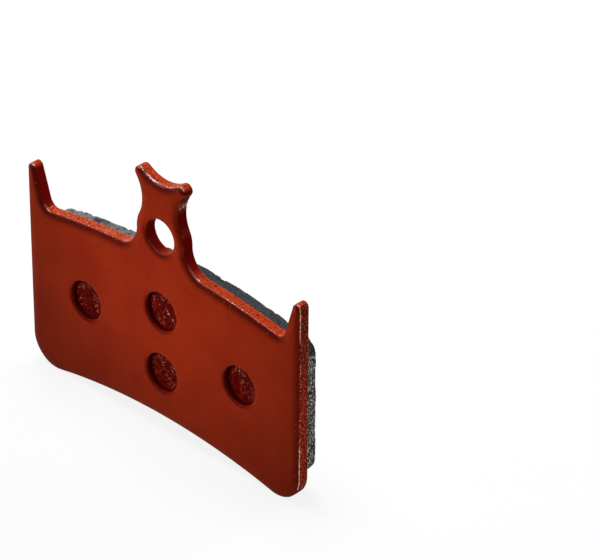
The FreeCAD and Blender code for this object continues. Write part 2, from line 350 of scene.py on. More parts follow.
# Red paint on the stamped steel
paintLook = {
    "red": shade(169, 48, 17), "deepRed": shade(156, 40, 13), "orange": shade(180, 58, 15),
    "paintedShadeRed": shade(126, 8, 3), "wallDark": shade(84, 7, 2), "wallPale": shade(250, 112, 62),
    "ledgeGlint": shade(240, 146, 112), "pooled": shade(84, 8, 2), "pit": shade(50, 7, 3),
    "fleck": shade(250, 184, 170), "faceFleck": shade(220, 116, 84), "bare": shade(255, 206, 184),
    "backShadeRed": shade(122, 19, 7), "backShadeDark": shade(92, 9, 4),
    "gloss": 0.27, "glossFine": 0.16, "glossFlow": 0.1, "glossShaded": 0.3, "specular": 0.015,
    "coat": (0.4, 0.6), "coatGloss": 0.13, "coatIor": 2.0,
    "fleckMetal": 0.2, "bareMetal": 0.9, "bump": 0.03,
    "clouds": {                                     # scale, detail and roughness
        "broad": (0.16, 3), "flow": (0.9, 2), "fine": (7.5, 3, 0.6), "torn": (3.6, 2),
        "speck": (5.2, 3, 0.75), "wear": (0.3, 2), "rubGlint": (2.1, 3, 0.7), "waves": (2.4, 2),
    },
    "bands": {                                      # where a pattern starts to show and where it is full
        "deepRed": (0.4, 0.9), "orange": (0.56, 0.8), "torn": (0.46, 0.66), "wallPale": (0.55, 0.62),
        "ledgeGlint": (0.53, 0.63), "backShadeDark": (0.5, 0.9), "backFine": (0.58, 0.76), "wear": (0.38, 0.56),
        "fleck": (0.98, 1.0), "rubGlint": (0.62, 0.76), "coat": (0.35, 0.45),
    },
    "amounts": {
        "flow": 0.25, "orange": 0.3, "thin": 0.9, "torn": 0.55, "ledgeDark": 0.2, "wallDark": 0.9,
        "wallPale": 0.8, "ledgeGlint": 0.85, "backFlow": 0.4, "backFine": 0.35, "shadeBand": 0.8, "shadeBandFlow": 0.3,
        "fleck": 0.85, "fleckWorn": 0.6, "fleckPale": 0.16, "fleckScuffed": 0.05, "fleckShaded": 0.85,
        "rubGlint": 0.34,
    },
    "darkSpeck": (0.55, 0.1),                       # level of the speck cloud and fade under it
    "pits": ((3.3, 0.72, 0.7), (1.7, 0.78, 0.75)),  # cells, share of them left plain, strength
    "pitReach": (0.33, 0.1), "pitSoft": 0.05,
    "pitFace": 0.3, "pitWall": 0.7, "pitLedge": 0.4, "pitShaded": 0.8,
    "fleckCells": 4.6, "fleckReach": 0.36, "fleckGrow": 0.08, "fleckFade": 0.14,
    "relief": {"flow": 0.5, "fine": 0.14, "pits": 0.8, "faceWaves": 0.3, "wallWaves": 0.9, "rimWaves": 0.5},
}


def redPaint():
    look = paintLook
    band, amount, relief = look["bands"], look["amounts"], look["relief"]
    paint = Finish("redPaint")
    place = paint.place()
    rim, edge, sheared, thin, pale = paint.marks("rim edge sheared thin pale")
    scuffed, shaded, pooled, rotor, rubbed = paint.marks("scuffed shaded pooled rotor rubbed")
    cloud = paint.clouds(place, look["clouds"])
    broad, flow, fine, speck = cloud["broad"], cloud["flow"], cloud["fine"], cloud["speck"]

    wallDark = amount["ledgeDark"] * thin + amount["wallDark"] * scuffed
    colour = paint.layer(
        look["red"], look,
        ("deepRed", paint.ease(broad + amount["flow"] * flow, *band["deepRed"])),
        ("orange", amount["orange"] * paint.ease(fine, *band["orange"])),
        # painted light: the ledges that face up are painted a lighter orange
        ("orange", amount["thin"] * thin),
        ("deepRed", amount["torn"] * sheared * paint.ease(cloud["torn"], *band["torn"])),
        ("wallDark", wallDark * paint.below(speck, *look["darkSpeck"])),
        ("wallPale", amount["wallPale"] * scuffed * paint.ease(speck, *band["wallPale"])),
        # painted highlights: pale glints speckled over the upward ledges and the crown's right tip
        ("ledgeGlint", amount["ledgeGlint"] * pale * paint.ease(speck, *band["ledgeGlint"])),
        # painted shade: the walls that face right and the walls of the holes take a darker red
        ("paintedShadeRed", shaded),
    )
    # painted shade: the rotor side is painted a deeper, darker red than the outer face
    behind = paint.layer(
        look["backShadeRed"], look,
        ("backShadeDark", paint.ease(broad + amount["backFlow"] * flow, *band["backShadeDark"])),
        ("red", amount["backFine"] * paint.ease(fine, *band["backFine"])),
    )
    colour = paint.blend(rotor, colour, behind)

    pits = 0.0                                      # dark specks, mostly in the sheared walls
    for size, plain, strength in look["pits"]:
        picked = paint.ease(paint.lot(place, size), plain, plain + look["pitSoft"])
        pits = pits + strength * paint.below(paint.cells(place, size), *look["pitReach"]) * picked
    pits = pits * (look["pitFace"] + look["pitWall"] * sheared + look["pitLedge"] * pale)
    pits = pits * (1 - look["pitShaded"] * shaded)
    # painted shade: a dark band on the face beside the upward edges, and at the foot of the filled holes
    shadeBand = pooled * (amount["shadeBand"] + amount["shadeBandFlow"] * flow)
    colour = paint.layer(colour, look, ("pooled", shadeBand), ("pit", pits))

    # pale flecks, most where an edge is worn: worn chips, and painted glints along the upward edges
    seed = paint.cells(place, look["fleckCells"], "Color")
    worn = edge * paint.ease(cloud["wear"], *band["wear"])
    chosen = paint.part(seed, 1) + amount["fleckWorn"] * worn
    chosen = chosen + amount["fleckPale"] * pale + amount["fleckScuffed"] * scuffed
    reach = look["fleckReach"] + look["fleckGrow"] * edge
    fleck = paint.below(paint.cells(place, look["fleckCells"]), reach, look["fleckFade"])
    fleck = fleck * paint.ease(chosen, *band["fleck"]) * (1 - amount["fleckShaded"] * shaded)
    fleckColour = paint.blend(edge, look["faceFleck"], look["fleck"])
    colour = paint.blend(amount["fleck"] * fleck, colour, fleckColour)
    # bare streaks on the abutments are rubbed paint with a painted highlight; on the crown's right tip, a
    # painted reflection
    streak = rubbed * paint.ease(cloud["rubGlint"] + amount["rubGlint"] * rubbed, *band["rubGlint"])
    colour = paint.blend(streak, colour, look["bare"])

    waves = relief["faceWaves"] + relief["wallWaves"] * sheared + relief["rimWaves"] * rim
    height = relief["flow"] * flow + relief["fine"] * fine - relief["pits"] * pits
    height = height + cloud["waves"] * waves
    gloss = look["gloss"] + look["glossFine"] * (fine - 0.5) + look["glossFlow"] * (flow - 0.5)
    coatLeast, coatMore = look["coat"]
    sockets = {
        "Base Color": colour,
        "Metallic": look["fleckMetal"] * fleck * edge * (1 - streak) + look["bareMetal"] * streak,
        "Roughness": gloss + look["glossShaded"] * shaded,
        "Specular IOR Level": look["specular"],
        "Coat Weight": rim * (coatLeast + coatMore * paint.ease(paint.part(seed, 2), *band["coat"])),
        "Coat Roughness": look["coatGloss"],
        "Coat IOR": look["coatIor"],
        "Normal": paint.bump(height, look["bump"]),
    }
    return paint.close(paint.add("BsdfPrincipled", {}, sockets))


# Stamped backing plate: its outer face rolls down to the sheared edges of the outline and the holes
plateShape = {
    "cadBreak": 0.2, "step": 0.13, "holeStep": 0.16, "rollSteps": 6, "wallSteps": 7, "support": 0.09,
    "outerRoll": (0.1, 0.09), "upperRoll": (0.22, 0.17), "rotorRoll": (0.12, 0.1),      # width and depth
    "sink": (1.25, 0.15), "pinSink": (0.9, 0.12), "keySink": (0.5, 0.07), "sinkPower": 2.2,
    "wallRough": 0.022, "holeRough": 0.6, "wallGrain": (2.6, 3), "wallStretch": (1, 0.45, 1), "proud": 0.4,
    "coarse": 0.75, "coarseClear": 0.6, "fine": 0.24, "fineClear": 0.5,
}

# Wear of the paint, painted shade and painted highlights along an edge, by its facing and its place; pairs
# go from none to full
plateWearAndShade = {
    "uppermost": (0.5, 0.87), "facing": (0, 10 / 13),            # edges facing this way get painted shade beside them and painted glints along them
    "shadeBand": (1, 1 / 3), "shadeBandPower": 1.3, "plugFoot": 0.7, "pinWorn": 0.25, "pinSheared": 0.3,
    "foldRim": 0.5, "rotorRim": 0.7, "rotorEdge": 0.5,
    "fleckUp": (0.2, 8 / 15), "glintUp": (0.5, 5 / 6), "ledgeUp": (0, 5 / 8),
    "notchTop": -1.5, "floorUp": (0.95, 0.98), "floorGlint": 0.75, "floorFleck": 0.4,
    "ledgeTop": -2.5, "highLedge": 0.5, "rightLedge": 0.3,
    "sideways": (0, 1 / 3), "wallUp": (0.8, 0.3), "rootUp": (21 / 22, 8 / 11), "root": (-3 / 7, -13 / 7),
    "pinSide": (-0.08, 0.32), "keyUp": (-0.2, 0.8),
    "abutment": 0.3, "abutmentMiddle": -10.5, "abutmentEnds": (5.5, 7.5), "middleRubGlint": 0.35,
    "wallRubGlint": 0.7, "rubGlintDepth": -0.3,
    "tipLow": 3.5, "tipFacing": -0.24, "tipSpread": 0.22, "tipLedge": 0.6, "tipGlint": 0.6,
}


def sinkAt(sink, distance):                         # how far the outer face has sunk near an edge
    return sink[1] * ramp(distance / sink[0], 1, 0) ** plateShape["sinkPower"]


def facingUp(out):
    return ramp(out @ np.array(plateWearAndShade["uppermost"]), *plateWearAndShade["facing"])


def paintedShadeAt(sink, distance, out):                  # painted shade beside the edges that face up
    return facingUp(out) * ramp(distance / sink[0], *plateWearAndShade["shadeBand"]) ** plateWearAndShade["shadeBandPower"]


def edgeProfile(sink, glint):                       # inset, depth and four marks of each row
    shape, wear = plateShape, plateWearAndShade
    near, far = plateLow.y, plateHigh.y
    wide, deep = (low + (high - low) * glint for low, high in zip(shape["outerRoll"], shape["upperRoll"]))
    rotorWide, rotorDeep = shape["rotorRoll"]
    turns = quarterTurn(shape["rollSteps"])
    inset = wide + shape["support"]
    rows = [(inset, near + sinkAt(sink, inset), 0.0, 0.0, 0.0, 0.0)]
    for turn in turns:
        steep = math.sin(turn)
        inset = wide * (1 - steep)
        depth = near + sinkAt(sink, inset) + deep * (1 - math.cos(turn))
        rim = steep ** 2 if turn < turns[-1] else wear["foldRim"]
        rows.append((inset, depth, rim, min(1.0, 2 * steep), max(0.0, 2 * steep - 1), 0.0))
    top, foot = depth, far - rotorDeep
    for step in range(1, shape["wallSteps"]):
        rows.append((0.0, top + (foot - top) * step / shape["wallSteps"], 0.0, 0.0, 1.0, 0.0))
    for turn in reversed(turns):
        steep = math.sin(turn)
        inset = rotorWide * (1 - steep)
        depth = far - rotorDeep * (1 - math.cos(turn))
        rim, edge = wear["rotorRim"] * math.sin(2 * turn), wear["rotorEdge"] * steep
        rows.append((inset, depth, rim, edge, max(0.0, 2 * steep - 1), math.cos(turn)))
    rows.append((rotorWide + shape["support"], far, 0.0, 0.0, 0.0, 1.0))
    return rows


def edgeMarks(loop, out, worn):                     # values along an edge; worn is 0 round the filled holes
    wear = plateWearAndShade
    (x, z), (right, up) = loop.T, out.T
    pinWall = 0 < worn < 1
    notch = z < wear["notchTop"]
    floor = ramp(up, *wear["floorUp"]) * notch      # the level part of each notch
    abutment = (np.abs(x) > plateHigh.x - wear["abutment"]).astype(float)
    # pale flecks along upward edges and abutments: partly worn chips, partly painted glints
    flecked = np.maximum(facingUp(out) * ramp(up, *wear["fleckUp"]) * worn, abutment)
    # painted light: the ledges that face up are painted a lighter orange
    ledge = ramp(up, *wear["ledgeUp"]) * np.where(z > wear["ledgeTop"], wear["highLedge"], 1.0)
    # painted highlights: pale glints on those ledges, fewer on the right notch floor
    pale = ledge * np.where((x > 0) & notch, wear["rightLedge"], 1.0) * (not pinWall)
    root = ramp(z, *wear["root"])                   # the painted shade on the walls reaches further round in the roots
    shaded = (1 - root) * slope(up, *wear["wallUp"]) + root * slope(up, *wear["rootUp"])
    shaded = np.clip(shaded, 0, 1) * ramp(right, *wear["sideways"]) * (1 - abutment)
    # painted shade on the pin hole's wall that faces right, and on the lower walls of the filled holes
    if pinWall:
        shaded = ramp(right, *wear["pinSide"])
    if worn == 0:
        shaded = ramp(up, *wear["keyUp"])
    # painted reflection across the right tip of the crown; rubbed paint with painted highlights on the
    # abutments, most at their ends
    tip = (z > wear["tipLow"]) * (x > 0) * ramp(np.abs(up - wear["tipFacing"]), wear["tipSpread"], 0)
    ends = ramp(np.abs(z - wear["abutmentMiddle"]), *wear["abutmentEnds"])
    return {
        "glint": ramp(up, *wear["glintUp"]) * worn * (1 - wear["floorGlint"] * floor),
        "flecked": flecked * (1 - wear["floorFleck"] * floor),
        "ledge": np.maximum(ledge, wear["tipLedge"] * tip),
        "pale": np.maximum(pale, tip),
        "shaded": shaded * (1 - tip),
        "abutment": abutment,
        "rubbed": abutment * (wear["middleRubGlint"] + (1 - wear["middleRubGlint"]) * ends),
        "tip": wear["tipGlint"] * tip,
    }


def sweepEdge(skin, loop, out, sink, rough, worn):  # one edge, from the outer face to the rotor side
    shape, wear = plateShape, plateWearAndShade
    marks = edgeMarks(loop, out, worn)
    shearedMost = wear["pinSheared"] if 0 < worn < 1 else 1.0
    # painted shade at the foot of the filled holes' walls
    plugFoot = np.clip(out[:, 1], 0, wear["plugFoot"]) * (worn == 0)
    rows = []
    for inset, depth, rim, edge, sheared, rotor in edgeProfile(sink, marks["glint"]):
        flat = loop - out * np.reshape(inset, (-1, 1))
        points = np.column_stack([flat[:, 0], np.broadcast_to(depth, len(loop)), flat[:, 1]])
        lift = np.array([grain(point * shape["wallStretch"], *shape["wallGrain"]) for point in points])
        points[:, [0, 2]] += out * np.minimum(lift * rough * sheared, shape["proud"] * rough)[:, None]
        pooled = paintedShadeAt(sink, inset, out) * (1 - sheared) * (1 - rim) * (depth < 0)
        rubbed = edge * (1 - wear["wallRubGlint"] * sheared) * marks["rubbed"] * (depth < wear["rubGlintDepth"])
        rows.append(skin.row(
            points, rim=rim * marks["glint"], edge=edge * marks["flecked"], sheared=sheared * shearedMost,
            thin=sheared * marks["ledge"], pale=sheared * marks["pale"], shaded=sheared * marks["shaded"],
            scuffed=sheared * marks["abutment"], pooled=np.maximum(pooled, sheared * plugFoot), rotor=rotor,
            rubbed=np.maximum(rubbed, marks["tip"] * max(edge, sheared))))
    skin.strips(rows)
    return rows


def backingPlate(material):
    shape = plateShape
    skin = Skin()
    loops = cadLoops("backing_plate", plateLow.y + shape["cadBreak"])
    outline = smoothed(loops[0])
    length = np.linalg.norm(np.roll(outline, -1, axis=0) - outline, axis=1).sum()
    outline = evenly(outline, round(length / shape["step"]))
    pin = next(mount for mount in frame["record"]["mounts"] if mount["name"] == "pin_hole")
    holes = [((0.0, 0.0), pin["dims"]["r_mm"], shape["pinSink"], plateWearAndShade["pinWorn"])]
    for loop in loops[1:]:
        centre = (loop.max(0) + loop.min(0)) / 2
        holes.append((centre, np.linalg.norm(loop - centre, axis=1).mean(), shape["keySink"], 0.0))
    edges = [(outline, outward(outline), shape["sink"], shape["wallRough"], 1.0)]
    for centre, radius, sink, worn in holes:
        ring = circle(centre, radius, round(2 * math.pi * radius / shape["holeStep"]))
        edges.append((ring, -outward(ring), sink, shape["wallRough"] * shape["holeRough"], worn))
    swept = [sweepEdge(skin, *edge) for edge in edges]

    outer, rotor = [rows[0] for rows in swept], [rows[-1] for rows in swept]
    rings = skin.rings(outer)
    border, fine, coarse = shape["sink"][0], shape["fine"], shape["coarse"]
    inner = np.vstack([faceGrid(rings, fine, fine * shape["fineClear"], border),
                       faceGrid(rings, coarse, border + fine, np.inf)])
    sunk, pooled = np.zeros(len(inner)), np.zeros(len(inner))
    # painted shade beside the edges, spread over the outer face
    for loop, out, sink, _, _ in edges:
        distance, which = nearestOf(inner, loop)
        sunk = np.maximum(sunk, sinkAt(sink, distance))
        pooled = np.maximum(pooled, paintedShadeAt(sink, distance, out[which]))
    skin.cover(outer, inner, plateLow.y + sunk, pooled=pooled)
    inner = faceGrid(skin.rings(rotor), coarse, coarse * shape["coarseClear"], np.inf)
    skin.cover(rotor, inner, np.full(len(inner), plateHigh.y), rotor=1.0)
    piece = skin.make("backingPlate", material)
    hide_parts("backing_plate")
    return [hole[:2] for hole in holes[1:]]


keyHoles = backingPlate(redPaint())


# Friction compound: dark bound grain on the ground face, grey moulded skin and torn ends on the sides
compoundLook = {
    "matrix": shade(104, 97, 88), "dark": shade(14, 13, 13), "warm": shade(124, 106, 86),
    "skin": shade(66, 69, 73), "skinDark": shade(48, 50, 54), "dust": shade(118, 123, 124),
    "raw": shade(112, 110, 103), "rawDark": shade(20, 20, 20), "rawPale": shade(222, 220, 214),
    "cream": shade(250, 244, 228), "brass": shade(208, 182, 132), "steel": shade(200, 200, 202),
    "tan": shade(206, 186, 146),
    "gloss": 0.52, "glossFine": 0.3, "glossPit": 0.2, "specular": 0.04, "bump": 0.08,
    "grainCells": 4.6, "smallCells": 9.5, "fleckCells": 6.6,
    "clouds": {"patchy": (0.55, 3), "fine": (8.0, 3, 0.6), "paintedLightCloud": (0.9, 3)},
    "bands": {
        "matrix": (0.26, 0.82), "warm": (0.6, 0.9), "small": (0.62, 0.9), "pit": (0.25, 0.9),
        "skin": (0.35, 0.7), "dust": (0.32, 0.56), "raw": (0.36, 0.56), "rawPale": (0.82, 0.88),
        "torn": (0.3, 0.7),
    },
    "amounts": {"patchy": 1.3, "warm": 0.8, "small": 0.55, "chip": 0.85, "torn": 0.5, "burnt": 0.85},
    "chips": (                                      # turn, share of the cells left plain, cells, colour
        (0.5, 0.84, 2.3, "cream"), (1.35, 0.88, 2.0, "brass"),
        (2.2, 0.84, 2.7, "cream"), (2.9, 0.8, 3.2, "steel"),
    ),
    "chipStretch": (1.0, 1.0, 2.6), "chipReach": (0.42, 0.12), "chipSoft": 0.02,
    "relief": {"tone": 0.7, "fine": 0.5},
}


def frictionCompound():
    look = compoundLook
    band, amount, relief = look["bands"], look["amounts"], look["relief"]
    stuff = Finish("frictionCompound")
    place = stuff.place()
    ground, pit, raw, dust, burnt = stuff.marks("ground pit raw dust burnt")
    cloud = stuff.clouds(place, look["clouds"])
    fine = cloud["fine"]
    seed = stuff.cells(place, look["grainCells"], "Color")
    tone, kind = stuff.part(seed, 0), stuff.part(seed, 1)
    small = stuff.lot(place, look["smallCells"])

    # the ground face: grains, painted chips between the real ones, dark pits
    bright = stuff.ease(tone + amount["patchy"] * (cloud["patchy"] - 0.5), *band["matrix"])
    colour = stuff.layer(
        look["dark"], look,
        ("matrix", bright),
        ("warm", amount["warm"] * stuff.ease(kind, *band["warm"])),
        ("dark", amount["small"] * stuff.ease(small, *band["small"])),
    )
    for turn, plain, size, name in look["chips"]:
        lean = stuff.place((0.0, turn, 0.0), look["chipStretch"])
        picked = stuff.ease(stuff.lot(lean, size), plain, plain + look["chipSoft"])
        chip = stuff.below(stuff.cells(lean, size), *look["chipReach"])
        colour = stuff.blend(amount["chip"] * chip * picked, colour, look[name])
    # painted shade: the pits and cracks of the ground face are painted dark
    colour = stuff.blend(stuff.ease(pit, *band["pit"]), colour, look["dark"])

    # the sides: moulded skin, with painted light as paler patches on the upward sides towards the left, and
    # torn ends
    flecks = stuff.cells(place, look["fleckCells"], "Color")
    fleck = [stuff.part(flecks, channel) for channel in range(3)]
    skin = stuff.layer(
        look["skinDark"], look,
        ("skin", stuff.ease(0.5 * fine + 0.5 * fleck[0], *band["skin"])),
        ("dust", dust * stuff.ease(cloud["paintedLightCloud"], *band["dust"])),
    )
    torn = stuff.layer(
        look["rawDark"], look,
        ("raw", stuff.ease(fleck[0], *band["raw"])),
        ("rawPale", stuff.ease(fleck[2], *band["rawPale"])),
    )
    side = stuff.blend(stuff.ease(raw + amount["torn"] * (fleck[1] - 0.5), *band["torn"]), skin, torn)
    # painted shade: the upper corner of the right end is darkened towards black
    side = stuff.blend(amount["burnt"] * burnt, side, look["rawDark"])
    colour = stuff.blend(ground, side, colour)
    height = relief["tone"] * tone + relief["fine"] * fine - stuff.cells(place, look["grainCells"])
    sockets = {
        "Base Color": colour,
        "Roughness": look["gloss"] + look["glossFine"] * (fine - 0.5) + look["glossPit"] * pit,
        "Specular IOR Level": look["specular"],
        "Normal": stuff.bump(height, look["bump"]),
    }
    return stuff.close(stuff.add("BsdfPrincipled", {}, sockets))


# Friction block: moulded sides with a little flash at the plate, torn upper edge, pitted ground face
blockShape = {
    "cadBreak": 0.15, "across": 260, "up": 130, "edgeRoll": (0.2, 0.18), "rollSteps": 6, "wallSteps": 12,
    "foot": 0.08, "flash": 0.16, "flashHeight": 0.3,
    "sideRough": 0.05, "lump": 0.13, "ragged": 0.12, "torn": 0.42,
    "sideGrain": (2.8, 7, 4), "lumpGrain": (0.42, 17, 2),        # scale, seed and octaves
    "biteGrain": (0.8, 23, 3), "biteStretch": (1, 0.4, 1), "biteFrom": 0.05,
    "crumble": (0.72, 1), "biteHeight": (0.45, 1), "biteUp": (0.3, 0.8),
    "pitDepth": 0.16, "grainDepth": 0.05, "hollowGrain": (1.5, 11, 4), "riseGrain": (4.2, 5, 2),
    "hollowFrom": 0.12, "hollowGain": 1.6, "dentFrom": 0.9,
    "crackCells": 2.9, "crackGain": 4.5, "crackShare": 0.55,
    "rawFoot": 0.7, "rawHeight": (0.35, 0), "rawRight": (2 / 3, 1), "groundFrom": (0.93, 0.93 + 1 / 14),
    "paintedLightAcross": (1, -9), "paintedLightUp": (0, 0.5), "cornerShadeAcross": (-2.4, -1.6), "cornerShadeUp": (0, 0.25),
}


def sidesOf(loop, across, up):                      # the loop as four curves that meet in its corners
    size = np.ptp(loop, axis=0)
    middle = (loop.max(0) + loop.min(0)) / 2
    lean = (loop - middle) / size
    corners = [int(np.argmax(lean @ np.array(way))) for way in ((-1, -1), (1, -1), (1, 1), (-1, 1))]
    curves = []
    for start, end, count in zip(corners, corners[1:] + corners[:1], (across, up, across, up)):
        run = loop[start:end + 1] if start < end else np.vstack([loop[start:], loop[:end + 1]])
        curves.append(evenly(run, count + 1, closed=False))
    return curves


def patch(lower, right, upper, left):               # a grid of points spanned between four curves
    u = np.linspace(0, 1, len(lower))[None, :, None]
    v = np.linspace(0, 1, len(right))[:, None, None]
    upper, left = upper[::-1], left[::-1]
    grid = (1 - v) * lower[None] + v * upper[None] + (1 - u) * left[:, None] + u * right[:, None]
    corners = (1 - u) * (1 - v) * lower[0] + u * (1 - v) * lower[-1]
    return grid - (corners + (1 - u) * v * upper[0] + u * v * upper[-1])


def compoundDent(x, z):                             # depth of the ground face here, and its pit mark
    shape = blockShape
    point = (x, 0.0, z)
    hollow = max(0.0, grain(point, *shape["hollowGrain"]) - shape["hollowFrom"]) * shape["hollowGain"]
    near = noise.voronoi(Vector(point) * shape["crackCells"])[0]
    crack = max(0.0, 1 - (near[1] - near[0]) * shape["crackGain"])
    pitted = min(1.0, hollow + shape["crackShare"] * crack)
    rise = grain(point, *shape["riseGrain"])
    return shape["pitDepth"] * pitted + shape["grainDepth"] * (0.5 - 0.5 * rise), pitted


def sideProfile():                                  # inset and depth of each row of the sides
    shape = blockShape
    base, face = plateHigh.y, blockHigh.y
    inset, drop = shape["edgeRoll"]
    rows = [(-shape["flash"], base)]
    for step in range(shape["wallSteps"] + 1):
        depth = base + shape["foot"] + (face - drop - base - shape["foot"]) * step / shape["wallSteps"]
        flare = max(0.0, 1 - (depth - base) / shape["flashHeight"]) ** 2
        rows.append((-shape["flash"] * flare, depth))
    for turn in quarterTurn(shape["rollSteps"])[1:]:
        rows.append((inset * (1 - math.cos(turn)), face - drop * (1 - math.sin(turn))))
    return rows


def sideRow(skin, loop, out, inset, depth):         # one row round the block, roughened and marked
    shape = blockShape
    x, (right, up) = loop[:, 0], out.T
    flat = loop - out * inset
    points = np.column_stack([flat[:, 0], np.full(len(flat), depth), flat[:, 1]])
    risen = depth - plateHigh.y
    height = risen / (blockHigh.y - plateHigh.y)
    crumble = ramp(height, *shape["crumble"])
    lift = np.array([grain(point, *shape["sideGrain"]) for point in points])
    lump = np.array([grain(point, *shape["lumpGrain"]) for point in points]) * shape["lump"]
    bite = np.array([grain(point * shape["biteStretch"], *shape["biteGrain"]) for point in points])
    bite = np.maximum(0, bite - shape["biteFrom"])
    bite *= shape["torn"] * ramp(height, *shape["biteHeight"]) * ramp(up, *shape["biteUp"])
    lift = lift * shape["sideRough"] - np.maximum(0, lift) * shape["ragged"] * crumble + lump - bite
    points[:, [0, 2]] += out * lift[:, None]
    if crumble > shape["dentFrom"]:
        points[:, 1] -= [compoundDent(x, z)[0] * crumble for x, _, z in points]
    rawFoot = shape["rawFoot"] * ramp(risen, *shape["rawHeight"])
    return skin.row(
        points, ground=ramp(height, *shape["groundFrom"]),
        raw=np.maximum(rawFoot, ramp(right, *shape["rawRight"])),
        # painted light: paler patches on the upward sides towards the left end
        dust=ramp(x, *shape["paintedLightAcross"]) * ramp(up, *shape["paintedLightUp"]),
        # painted shade at the upper corner of the right end
        burnt=ramp(x - blockHigh.x, *shape["cornerShadeAcross"]) * ramp(up, *shape["cornerShadeUp"]))


def frictionBlock(material):
    shape = blockShape
    skin = Skin()
    across, up = shape["across"], shape["up"]
    loop = smoothed(cadLoops("friction_block", blockHigh.y - shape["cadBreak"])[0])
    loop = np.vstack([curve[:-1] for curve in sidesOf(loop, across, up)])
    out = outward(loop)
    rows = [sideRow(skin, loop, out, inset, depth) for inset, depth in sideProfile()]
    skin.strips(rows)

    stops = np.cumsum([0, across, up, across, up])
    spans = [slice(start, end + 1) for start, end in zip(stops, stops[1:])]
    rim = loop - out * shape["edgeRoll"][0]
    rim = np.vstack([rim, rim[:1]])
    top = rows[-1] + rows[-1][:1]
    grid = patch(*(rim[span] for span in spans))
    lower, right, upper, left = (top[span] for span in spans)
    lines = [lower]
    for line in range(1, up):
        points, pits = [], []
        for x, z in grid[line, 1:-1]:
            dent, pitted = compoundDent(x, z)
            points.append((x, blockHigh.y - dent, z))
            pits.append(pitted)
        inner = skin.row(points, ground=1.0, pit=np.array(pits))
        lines.append([left[up - line]] + inner + [right[line]])
    lines.append(upper[::-1])
    skin.strips(lines, closed=False)
    skin.cap(rows[0])
    piece = skin.make("frictionBlock", material)
    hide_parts("friction_block")
    return grid[2:-2, 2:-2].reshape(-1, 2)


groundSpots = frictionBlock(frictionCompound())


# Plug ends in the keying holes, painted over with the plate
plugShape = {
    "rings": 22, "spokes": 84, "gap": 0.01, "skirt": 0.6, "meniscus": 0.07, "meniscusFrom": 0.8,
    "rough": 0.1, "calm": 6, "broadGrain": (1.7, 9, 3), "fineGrain": (4.5, 2, 2), "fineShare": 0.5,
    "middle": (0.97, 0.8),
}
plugLook = {
    "paint": shade(116, 9, 5), "deep": shade(84, 4, 2),
    "ridgeGlint": shade(212, 90, 46), "glint": shade(252, 198, 150),
    "gloss": 0.3, "glossFine": 0.2, "specular": 0.01, "coat": 0.3, "coatGloss": 0.12, "bump": 0.06,
    "clouds": {"fine": (6.0, 3, 0.6), "cluster": (0.7, 2), "bend": (2.1, 2, 0.5)},
    "grainCells": 3.6, "fleckCells": 4.2, "fleckReach": (0.4, 0.14), "ridgeGlintReach": (0.001, 0.0009),
    "bands": {"paint": (0.3, 0.7), "ridgeGlint": (0.61, 0.83), "fleck": (1.12, 1.16)},
    "amounts": {"tone": 0.6, "fine": 0.4, "cluster": 0.5, "ridgeGlint": 0.88, "fleck": 0.85},
    "relief": {"tone": 0.6, "ridgeGlint": 0.5},
}


def paintedGrain():
    look = plugLook
    band, amount, relief = look["bands"], look["amounts"], look["relief"]
    paint = Finish("paintedGrain")
    place = paint.place()
    middle = paint.mark("middle")
    cloud = paint.clouds(place, look["clouds"])
    fine, cluster = cloud["fine"], cloud["cluster"]
    tone = paint.lot(place, look["grainCells"])
    bright = paint.ease(amount["tone"] * tone + amount["fine"] * fine, *band["paint"])
    # painted highlights: wavy ridges and glints of light on the plugs, clustered in their middles
    bend = cloud["bend"] - 0.5                      # ridges run where the cloud is at its middle level
    ridgeGlint = paint.below(bend * bend, *look["ridgeGlintReach"]) * middle
    ridgeGlint = ridgeGlint * paint.ease(cluster + amount["fine"] * fine, *band["ridgeGlint"])
    chosen = paint.lot(place, look["fleckCells"], 1) + amount["cluster"] * cluster
    fleck = paint.below(paint.cells(place, look["fleckCells"]), *look["fleckReach"]) * middle
    fleck = fleck * paint.ease(chosen, *band["fleck"])
    # painted shade: towards the hole wall each plug keeps the deep red, with no ridges or glints
    colour = paint.layer(
        look["deep"], look,
        ("paint", bright * middle),
        ("ridgeGlint", amount["ridgeGlint"] * ridgeGlint),
        ("glint", amount["fleck"] * fleck),
    )
    sockets = {
        "Base Color": colour,
        "Roughness": look["gloss"] + look["glossFine"] * fine,
        "Specular IOR Level": look["specular"],
        "Coat Weight": look["coat"] * ridgeGlint,
        "Coat Roughness": look["coatGloss"],
        "Normal": paint.bump(fine + relief["tone"] * tone + relief["ridgeGlint"] * ridgeGlint, look["bump"]),
    }
    return paint.close(paint.add("BsdfPrincipled", {}, sockets))


def plugEnds(material):
    shape = plugShape
    skin = Skin()
    for centre, radius in keyHoles:
        rows = []
        for ring in range(1, shape["rings"] + 1):
            share = ring / shape["rings"]
            calm = 1 - share ** shape["calm"]
            creep = shape["meniscus"] * ramp(share, shape["meniscusFrom"], 1) ** 2
            points = []
            for x, z in circle(centre, (radius - shape["gap"]) * share, shape["spokes"]):
                lift = grain((x, 0, z), *shape["broadGrain"])
                lift += shape["fineShare"] * grain((x, 0, z), *shape["fineGrain"])
                points.append((x, blockLow.y - lift * shape["rough"] * calm - creep, z))
            rows.append(skin.row(points, middle=ramp(share, *shape["middle"])))
        skin.strips(rows)
        skin.cap(rows[0])
        foot = circle(centre, radius - shape["gap"], shape["spokes"])
        rows.append(skin.row([(x, blockLow.y + shape["skirt"], z) for x, z in foot]))
        skin.strips(rows[-2:])
        skin.cap(rows[-1])
    piece = skin.make("plugEnds", material)
    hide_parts("friction_block")


plugEnds(paintedGrain())


